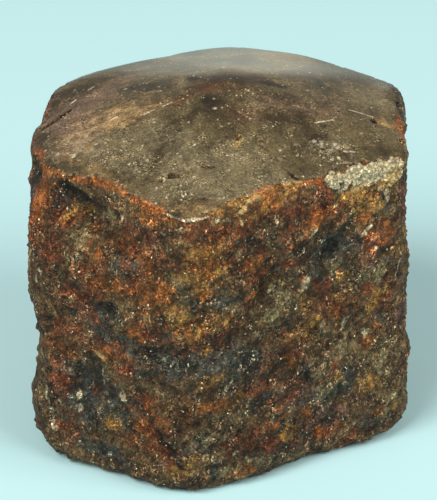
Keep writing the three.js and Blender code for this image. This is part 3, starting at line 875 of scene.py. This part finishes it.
# %% Place strokes and flecks, and paint the dome
STROKES = {
    # from x, y, to x, y, width
    "mica": [
        (-4.2, -13.1, -3.4, -13.5, 0.15), (-3.4, -13.5, -2.6, -13.6, 0.2),
        (-2.6, -13.6, -1.9, -13.4, 0.25), (-1.9, -13.4, -0.3, -12.9, 0.15),
        (9.2, -0.5, 10.9, -0.5, 0.1), (6.6, -3.4, 8.0, -2.6, 0.12), (-5.7, -3.0, -5.0, -2.6, 0.14),
        (-4.4, -2.4, -3.6, -2.0, 0.1), (-11.2, 2.1, -10.9, 2.5, 0.18), (-10.0, 3.6, -9.6, 4.0, 0.12),
        (-8.2, -2.8, -7.7, -2.5, 0.16), (8.6, -5.8, 9.4, -5.6, 0.08), (-4.2, -10.3, -4.1, -9.9, 0.25),
    ],
    "manganese": [
        (2.6, -6.8, 3.2, -7.2, 0.15), (4.6, -8.9, 5.2, -9.3, 0.2), (5.9, 4.5, 7.2, 3.2, 0.15),
    ],
    "umber": [
        (4.4, -8.7, 5.2, -9.4, 0.25),
    ],
    "rust": [
        (-5.6, -1.8, -4.6, -1.6, 0.35), (-3.7, -1.8, -2.3, -1.3, 0.45), (-3.4, -2.6, -2.9, -2.1, 0.35),
    ],
    "ochre": [
        (0.2, -12.5, 2.4, -11.3, 0.45), (3.6, -10.4, 5.4, -9.6, 0.55),
    ],
    "limonite": [
        (5.6, -9.6, 7.0, -8.7, 0.35),
    ],
}
STROKE_STRENGTH = 1.15
FLECKS = [
    # x, y, width
    (-10.7, -6.2, 0.4), (-11.9, -5.5, 0.25), (-9.1, -5.5, 0.22), (-8.0, -1.9, 0.15), (-5.0, -4.2, 0.18),
    (-5.4, -8.2, 0.2), (-5.6, -7.7, 0.15), (-6.7, -8.3, 0.2), (1.9, -4.1, 0.2), (1.8, -0.9, 0.18),
    (-2.1, -7.1, 0.18), (6.5, -5.4, 0.3), (4.0, -6.9, 0.22), (0.0, 3.0, 0.2), (-7.2, 2.0, 0.2),
    (-0.7, -2.2, 0.15), (-0.1, -3.2, 0.15), (-0.6, -3.3, 0.22), (8.0, -5.3, 0.25), (7.0, -6.3, 0.2),
    (8.2, -6.5, 0.22), (5.6, -8.9, 0.15), (-3.0, -10.9, 0.12), (9.9, -3.4, 0.15),
]
LOOSE_FLECKS = {"count": 300, "widths": (0.07, 0.15), "reach": 14}
DOME_FLECK_STRENGTH = 0.36
DOME_ZONE_STRENGTH = 0.6
STROKE_FADE = (0.4, 0.15)
SECTOR_WANDER = 0.25


def depth_in(flat, corners):
    """How deep each place on the plan lies inside a polygon. It is negative outside."""
    inside = np.zeros(len(flat), bool)
    nearest = np.full(len(flat), np.inf)
    for start, end in zip(corners, corners[1:] + corners[:1]):
        nearest = np.minimum(nearest, from_line(flat, start, end))
        crosses = (flat[:, 1] > start[1]) != (flat[:, 1] > end[1])
        slope = (end[0] - start[0]) / (end[1] - start[1] or 1)
        inside ^= crosses & (flat[:, 0] < start[0] + (flat[:, 1] - start[1]) * slope)
    return np.where(inside, nearest, -nearest)


def dome_across(middle):
    """The wandering distance to the right of a middle on the plan."""
    return places[:, 0] + wander_round - middle


layers = ((DOME_FLECKS, DOME_FLECK_STRENGTH), (DOME_ZONES, DOME_ZONE_STRENGTH), (DOME_PATCHES, 1))
for table, strength in layers:
    for name, patches in table.items():
        add_patches(name, dome_across, places[:, 1] + wander_up, patches, dome * strength)
        print(f"{name}: {len(patches)} places on the dome")
near_dome = smoothstep(from_dome, *STROKE_FADE)
for name, strokes in STROKES.items():
    for x, y, to_x, to_y, wide in strokes:
        away = from_line(places[:, :2], (x, y), (to_x, to_y))
        paint(name, STROKE_STRENGTH * 0.5 ** ((2 * away / wide) ** 2) * near_dome)
loose = random.uniform(-LOOSE_FLECKS["reach"], LOOSE_FLECKS["reach"], (LOOSE_FLECKS["count"], 2))
widths = random.uniform(*LOOSE_FLECKS["widths"], LOOSE_FLECKS["count"])
for x, y, wide in [*FLECKS, *zip(*loose.T, widths)]:
    paint("mica", STROKE_STRENGTH * dome_oval(x, y, wide, wide) * dome)
plan = places[:, :2] + SECTOR_WANDER * np.stack(wanders, 1)
for name, sectors in SECTORS.items():
    for corners in sectors:
        inside = smoothstep(depth_in(plan, corners), -SECTOR_EDGE, SECTOR_EDGE)
        paint(name, inside * dome * SECTOR_STRENGTH)
    print(f"{name}: {len(sectors)} growth sectors")

# %% [markdown]
# ## Values that the material reads
#
# The shader can't know where the dome or a patch is, so each point carries these values as named
# attributes. One holds painted light and shade of the relief: raised places are painted lighter, and
# hollows and seams darker, as painted shade. The worn rim is a little lighter, and three places on the
# sides are darker. Faint rays round the tip are stored too. The minerals could be baked into an image
# instead, but as values on the points each one keeps its own colour in the material, where it can still
# be changed.

# %% Store the attributes
RAY_NOISE = {"size": 1 / 3, "octaves": 3}
RAY_LENGTH = 20
RAY_SEED = 3.3
RAYS_BEGIN = (1.5, 5)
EDGE_WEAR = {"rise": 0.1, "reach": 1.0}
# Three places on the sides are painted darker.
DARKENED_PLACES = [
    # girth, height, long, wide, turn, darkening
    (4.4, 9.5, 10.0, 18.0, 0, 0.12),
    (-11.7, 19.7, 1.2, 2.2, 0, 0.25),
    (3.0, 8.1, 2.2, 2.0, 0, 0.15),
]


def store(name, values):
    """Writes one number for each point of the mesh."""
    attribute = mesh.attributes.new(name, "FLOAT", "POINT")
    attribute.data.foreach_set("value", values.astype(np.float32))


tip = places[np.argmax(height)]
ray_heading = np.arctan2(places[:, 1] - tip[1], places[:, 0] - tip[0])
ray_reach = np.hypot(places[:, 0] - tip[0], places[:, 1] - tip[1])
outward = ray_reach / RAY_LENGTH + RAY_SEED
ray_places = np.stack([np.cos(ray_heading), np.sin(ray_heading), outward], 1)
rays = lumps(ray_places, **RAY_NOISE) * smoothstep(ray_reach, *RAYS_BEGIN)
store("rays", rays)
edge_wear = EDGE_WEAR["rise"] * np.exp(-(from_rim / EDGE_WEAR["reach"]) ** 2)
# Painted light and shade: raised places are painted lighter and sunk ones darker, the seams get painted
# shade, and the worn rim is a little lighter.
lit_shaded_and_worn = relief + edge_wear - SEAM["darkening"] * seams
for *shape, darkening in DARKENED_PLACES:
    lit_shaded_and_worn -= darkening * side_oval(*shape)
store("lit_shaded_and_worn", lit_shaded_and_worn)
store("white", white)
for name, values in mineral_weights.items():
    store(name, values)
print(f"the mesh carries {len(mineral_weights) + 3} attributes")

# %% [markdown]
# ## Two finishes of one mineral
#
# Corundum is aluminium oxide, with an index of refraction near 1.77, so its polish has a stronger
# sheen than glass. Worn polish is a little rough and dull. The rind is an aggregate of grains, rusty and
# nearly matt. Each mineral is laid over the last one as a crowd of grains: a fine noise is added to its
# patches before they are cut off, so that they thin out at their edges. The finest grains of the real
# rind are far smaller than a pixel, so they are drawn coarser, at about 0.1 mm, with flat slivers of
# 0.16 mm between them, which just show. A few grains in swarms get painted glints, and the seams between
# lumps get painted shade. The white and gold grains at the rim lie over the others, with painted shade in
# the gaps between the white ones.

# %% Recipes that both finishes share
RIND_MINERALS = {
    "plum": "#60433a",
    "slate": "#464c46",
    "umber": "#3e3428",
    "sericite": "#867a57",
    "rust": "#763d22",
    "ochre": "#a3783c",
    "limonite": "#9c5c2a",
    "manganese": "#1b1711",
    "mica": "#d4c59e",
}
PALE_MINERALS = {
    "white": "#ebdcb3",
    "gold": "#c9a96c",
}
DOME_MINERALS = {
    "plum": "#8b715b",
    "umber": "#3d3220",
    "slate": "#38392f",
    "sericite": "#887c5e",
    "rust": "#603c26",
    "ochre": "#c19e6c",
    "limonite": "#b0652f",
    "gold": "#c0a05e",
    "manganese": "#2a231b",
    "mica": "#e2d5b4",
}
# Glints are painted highlights in the colour, as of mica catching the lamps.
PAINTED_GLINT_COLOUR = "#eadab2"
CROWD = {"Scale": 1 / 0.6, "Detail": 4, "Roughness": 0.75}
SWARM_MM = 1.1
CROWD_MIDDLE = 0.535
CROWD_STEP = 7.0
SWARM = {"Scale": 1 / SWARM_MM, "Detail": 4, "Roughness": 0.8}
BUSY = {"From Min": 0.45, "From Max": 0.7, "To Min": 0.2, "To Max": 1}
GRAIN_SKEW = 2.0
SWARM_LUCK = 0.8
GLINT_SOFT = 0.06
CLOUD = {"Detail": 6, "Roughness": 0.75}
FLAKE_EDGES = {"Detail": 4, "Roughness": 0.6}
EDGE_SIZE = 0.6
EDGE_SHARE = 0.25
MOTTLED = {"From Min": 0.42, "From Max": 0.85}
CRACK_BEND = {"Detail": 3, "Roughness": 0.7}
BEND_SIZE = 0.7
LAID_OVER = {"output": 2, "data_type": "RGBA"}
MULTIPLIED = {**LAID_OVER, "blend_type": "MULTIPLY"}


def crystal_places(tree):
    """The place on the crystal, in millimetres."""
    metres = add_node(tree, "ShaderNodeTexCoord", output=3)
    return add_node(tree, "ShaderNodeVectorMath", {0: metres, "Scale": 1 / MM}, operation="SCALE")


def lay_minerals(tree, place, colour, minerals, spread, soft, most):
    """Lays each mineral over the colour as a crowd of grains, which thins out at its edges."""
    middle = CROWD_MIDDLE + 0.5 / spread
    for index, (name, mineral) in enumerate(minerals.items()):
        patch = add_node(tree, "ShaderNodeAttribute", output=2, attribute_name=name)
        crowd_inputs = {"Vector": place, "W": CROWD_STEP * index, **CROWD}
        crowd = add_node(tree, "ShaderNodeTexNoise", crowd_inputs, noise_dimensions="4D")
        raised = {0: patch, 1: 1 / spread, 2: crowd}
        reach = add_node(tree, "ShaderNodeMath", raised, operation="MULTIPLY_ADD")
        cut = {"Value": reach, "From Min": middle - soft / 2, "From Max": middle + soft / 2, "To Max": most}
        share = add_node(tree, "ShaderNodeMapRange", cut)
        both = {0: share, 6: colour, 7: linear(mineral)}
        colour = add_node(tree, "ShaderNodeMix", both, **LAID_OVER)
    return colour


def grains_over(tree, place, colour, size_mm, darkest, lightest, hue_share, glint_from):
    """Gives each grain its own brightness and hue, most in swarms, where a few grains get painted glints.
    """
    cells = add_node(tree, "ShaderNodeTexVoronoi", {"Vector": place, "Scale": 1 / size_mm}, output=1)
    chances = add_node(tree, "ShaderNodeSeparateColor", {"Color": cells}).node.outputs
    swarm = add_node(tree, "ShaderNodeTexNoise", {"Vector": place, **SWARM})
    skewed = add_node(tree, "ShaderNodeMath", {0: chances["Red"], 1: GRAIN_SKEW}, operation="POWER")
    tone_inputs = {"Value": skewed, "To Min": darkest, "To Max": lightest}
    tone = add_node(tree, "ShaderNodeMapRange", tone_inputs)
    busy = add_node(tree, "ShaderNodeMapRange", {"Value": swarm, **BUSY})
    mixed = {0: busy, 6: colour, 7: tone}
    colour = add_node(tree, "ShaderNodeMix", mixed, **MULTIPLIED)
    around_one = add_node(tree, "ShaderNodeVectorMath", {0: cells, 1: (2, 2, 2)}, operation="MULTIPLY")
    mixed = {0: hue_share, 6: colour, 7: around_one}
    colour = add_node(tree, "ShaderNodeMix", mixed, **MULTIPLIED)
    # A few grains in swarms get a painted glint.
    luck = {0: swarm, 1: SWARM_LUCK, 2: chances["Green"]}
    chance = add_node(tree, "ShaderNodeMath", luck, operation="MULTIPLY_ADD")
    bright_inputs = {"Value": chance, "From Min": glint_from - GLINT_SOFT, "From Max": glint_from}
    bright = add_node(tree, "ShaderNodeMapRange", bright_inputs)
    facing = add_node(tree, "ShaderNodeMath", {0: bright, 1: chances["Blue"]}, operation="MULTIPLY")
    mixed = {0: facing, 6: colour, 7: linear(PAINTED_GLINT_COLOUR)}
    return add_node(tree, "ShaderNodeMix", mixed, **LAID_OVER)


def mottle_over(tree, place, colour, size_mm, darkest, lightest):
    """Lays light and shade of larger sizes over all minerals alike, with sharp bright edges of flakes."""
    cloud_inputs = {"Vector": place, "Scale": 1 / size_mm, **CLOUD}
    cloud = add_node(tree, "ShaderNodeTexNoise", cloud_inputs)
    edge_inputs = {"Vector": place, "Scale": 1 / (EDGE_SIZE * size_mm), **FLAKE_EDGES}
    edges = add_node(tree, "ShaderNodeTexNoise", edge_inputs, noise_type="RIDGED_MULTIFRACTAL")
    both = add_node(tree, "ShaderNodeMath", {0: edges, 1: EDGE_SHARE, 2: cloud}, operation="MULTIPLY_ADD")
    tone_inputs = {"Value": both, **MOTTLED, "To Min": darkest, "To Max": lightest}
    tone = add_node(tree, "ShaderNodeMapRange", tone_inputs)
    mixed = {0: 1.0, 6: colour, 7: tone}
    return add_node(tree, "ShaderNodeMix", mixed, **MULTIPLIED)


def seam_shade_over(tree, place, colour, size_mm, strength, wide, where=1.0):
    """Paints shade in the seams between lumps of grains. The width is a share of a lump; where is a mask.
    """
    bend_inputs = {"Vector": place, "Scale": 1 / (BEND_SIZE * size_mm), **CRACK_BEND}
    bend = add_node(tree, "ShaderNodeTexNoise", bend_inputs, output=1)
    moved = {0: bend, 1: (size_mm,) * 3, 2: place}
    bent = add_node(tree, "ShaderNodeVectorMath", moved, operation="MULTIPLY_ADD")
    seam_inputs = {"Vector": bent, "Scale": 1 / size_mm}
    seam = add_node(tree, "ShaderNodeTexVoronoi", seam_inputs, feature="DISTANCE_TO_EDGE")
    dark = {"Value": seam, "From Min": 0.0, "From Max": wide, "To Min": 1 - strength}
    shade = add_node(tree, "ShaderNodeMapRange", dark)
    mixed = {0: where, 6: colour, 7: shade}
    return add_node(tree, "ShaderNodeMix", mixed, **MULTIPLIED)


def toned(tree, value, tones):
    """Goes from tone to tone as a value grows."""
    (last, first_tone), *others = tones
    colour = linear(first_tone)
    for position, tone in others:
        stretch = {"Value": value, "From Min": last, "From Max": position}
        share = add_node(tree, "ShaderNodeMapRange", stretch)
        both = {0: share, 6: colour, 7: linear(tone)}
        colour = add_node(tree, "ShaderNodeMix", both, **LAID_OVER)
        last = position
    return colour


# %% Make the rusty rind
RIND_TONES = [(0.36, "#4c3726"), (0.5, "#654c31"), (0.62, "#7a6544")]
RIND_HUES = {"Scale": 1 / 2.0, "Detail": 8, "Roughness": 0.75}
RIND_CROWDS = {"spread": 2.8, "soft": 0.16}
RIND_MOTTLE = {"size_mm": 1.3, "darkest": 0.45, "lightest": 2.1}
RIND_SEAM_SHADE = {"size_mm": 0.7, "strength": 0.4, "wide": 0.09}
WHITE_GAP_SHADE = {"size_mm": 0.36, "strength": 0.7, "wide": 0.26}
PAINTED_LIGHT_AND_WEAR = {"From Min": -0.35, "From Max": 0.45, "To Min": 0.45, "To Max": 1.8}
SLIVER_STRETCH = (1.6, 1.6, 0.5)
MICA_SLIVERS = {"size_mm": 0.16, "darkest": 0.45, "lightest": 2.4, "hue_share": 0.0, "glint_from": 1.5}
FINE_GRAINS = {"size_mm": 0.11, "darkest": 0.0, "lightest": 3.4, "hue_share": 0.1, "glint_from": 1.45}
PALE_GRAINS = {"size_mm": 0.17, "darkest": 0.4, "lightest": 2.4, "hue_share": 0.05, "glint_from": 1.6}
RIND_BUMPS = {"Scale": 1 / 0.25, "Detail": 3, "Roughness": 0.75}
RIND_BUMP = {"Strength": 1.0, "Distance": 0.22 * MM}
# Rust scatters light, so the rind has little sheen. Its small glints are painted into its colour.
RIND_FINISH = {"Roughness": 0.7, "Specular IOR Level": 0.25}


def make_rind():
    """Iron-stained rind: an aggregate of grains, nearly matt, with painted shade in its hollows and seams.
    """
    material, tree, surface = new_material("iron-stained rind", RIND_FINISH)
    place = crystal_places(tree)
    hue = add_node(tree, "ShaderNodeTexNoise", {"Vector": place, **RIND_HUES})
    colour = toned(tree, hue, RIND_TONES)
    colour = lay_minerals(tree, place, colour, RIND_MINERALS, **RIND_CROWDS, most=0.85)
    colour = mottle_over(tree, place, colour, **RIND_MOTTLE)
    colour = seam_shade_over(tree, place, colour, **RIND_SEAM_SHADE)
    # Painted light and shade of the relief, with a lighter worn rim and darker places.
    lit_shaded_and_worn = add_node(tree, "ShaderNodeAttribute", output=2, attribute_name="lit_shaded_and_worn")
    shade = add_node(tree, "ShaderNodeMapRange", {"Value": lit_shaded_and_worn, **PAINTED_LIGHT_AND_WEAR})
    colour = add_node(tree, "ShaderNodeMix", {0: 1.0, 6: colour, 7: shade}, **MULTIPLIED)
    slivers = add_node(tree, "ShaderNodeVectorMath", {0: place, 1: SLIVER_STRETCH}, operation="MULTIPLY")
    colour = grains_over(tree, slivers, colour, **MICA_SLIVERS)
    colour = grains_over(tree, place, colour, **FINE_GRAINS)
    colour = lay_minerals(tree, place, colour, PALE_MINERALS, **RIND_CROWDS, most=0.9)
    white = add_node(tree, "ShaderNodeAttribute", output=2, attribute_name="white")
    # Painted shade in the gaps between the raised white grains.
    colour = seam_shade_over(tree, place, colour, **WHITE_GAP_SHADE, where=white)
    colour = grains_over(tree, place, colour, **PALE_GRAINS)
    tree.links.new(colour, surface.inputs["Base Color"])
    grains = add_node(tree, "ShaderNodeTexNoise", {"Vector": place, **RIND_BUMPS})
    bump = add_node(tree, "ShaderNodeBump", {"Height": grains, **RIND_BUMP})
    tree.links.new(bump, surface.inputs["Normal"])
    return material


# %% Make the worn polish
DOME_TONES = [(0.3, "#443923"), (0.45, "#5a4e34"), (0.6, "#6d6042")]
DOME_CLOUDS = {"Scale": 1 / 2.2, "Detail": 7, "Roughness": 0.7}
RAY_STRENGTH = 0.4
DOME_CROWDS = {"spread": 1.8, "soft": 0.35, "most": 0.85}
DOME_MOTTLE = {"size_mm": 1.6, "darkest": 0.6, "lightest": 1.4}
DOME_GRAINS = {"size_mm": 0.09, "darkest": 0.1, "lightest": 3.1, "hue_share": 0.06, "glint_from": 1.46}
SCUFFS = {"Scale": 1 / 0.3, "Detail": 3, "Roughness": 0.6}
SCUFF_BUMP = {"Strength": 0.3, "Distance": 0.03 * MM}
# The index is corundum's. The worn polish mirrors less than a fresh one, so its sheen is soft and grey.
POLISH_FINISH = {"Roughness": 0.34, "IOR": 1.77, "Specular IOR Level": 0.36}


def make_polish():
    """Worn polish over grey-brown corundum. Its patches are soft, and fine scuffs dull its shine."""
    material, tree, surface = new_material("worn corundum polish", POLISH_FINISH)
    place = crystal_places(tree)
    cloud = add_node(tree, "ShaderNodeTexNoise", {"Vector": place, **DOME_CLOUDS})
    rays = add_node(tree, "ShaderNodeAttribute", output=2, attribute_name="rays")
    rayed = {0: rays, 1: RAY_STRENGTH, 2: cloud}
    tone = add_node(tree, "ShaderNodeMath", rayed, operation="MULTIPLY_ADD")
    colour = toned(tree, tone, DOME_TONES)
    colour = lay_minerals(tree, place, colour, DOME_MINERALS, **DOME_CROWDS)
    colour = mottle_over(tree, place, colour, **DOME_MOTTLE)
    colour = grains_over(tree, place, colour, **DOME_GRAINS)
    tree.links.new(colour, surface.inputs["Base Color"])
    scuffs = add_node(tree, "ShaderNodeTexNoise", {"Vector": place, **SCUFFS})
    bump = add_node(tree, "ShaderNodeBump", {"Height": scuffs, **SCUFF_BUMP})
    tree.links.new(bump, surface.inputs["Normal"])
    return material


# %% Dress the crystal
POLISH = {"least_dome": 0.8, "most_white": 0.3, "lowest_relief": -0.06}

mesh.transform(Matrix.Scale(MM, 4))
mesh.materials.clear()
mesh.materials.append(make_rind())
mesh.materials.append(make_polish())
polished = dome > POLISH["least_dome"]
polished &= white < POLISH["most_white"]
polished &= relief > POLISH["lowest_relief"]
face_polish = np.array([polished[list(face.vertices)].all() for face in mesh.polygons])
mesh.polygons.foreach_set("material_index", face_polish.astype(int))
mesh.shade_smooth()
crystal = bpy.data.objects.new("crystal_stone", mesh)
bpy.context.scene.collection.objects.link(crystal)
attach(crystal, "root")
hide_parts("crystal")
print(f"{crystal.name} stands for the CAD crystal")

# %% [markdown]
# ## Check the size
#
# The dressed crystal has to stay as large as the solid.

# %% Compare the boxes
look_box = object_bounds()
grown = [(b - a) / MM for a, b in zip(cad_box[1] - cad_box[0], look_box[1] - look_box[0])]
print("the look is larger by", [round(g, 2) for g in grown], "mm")
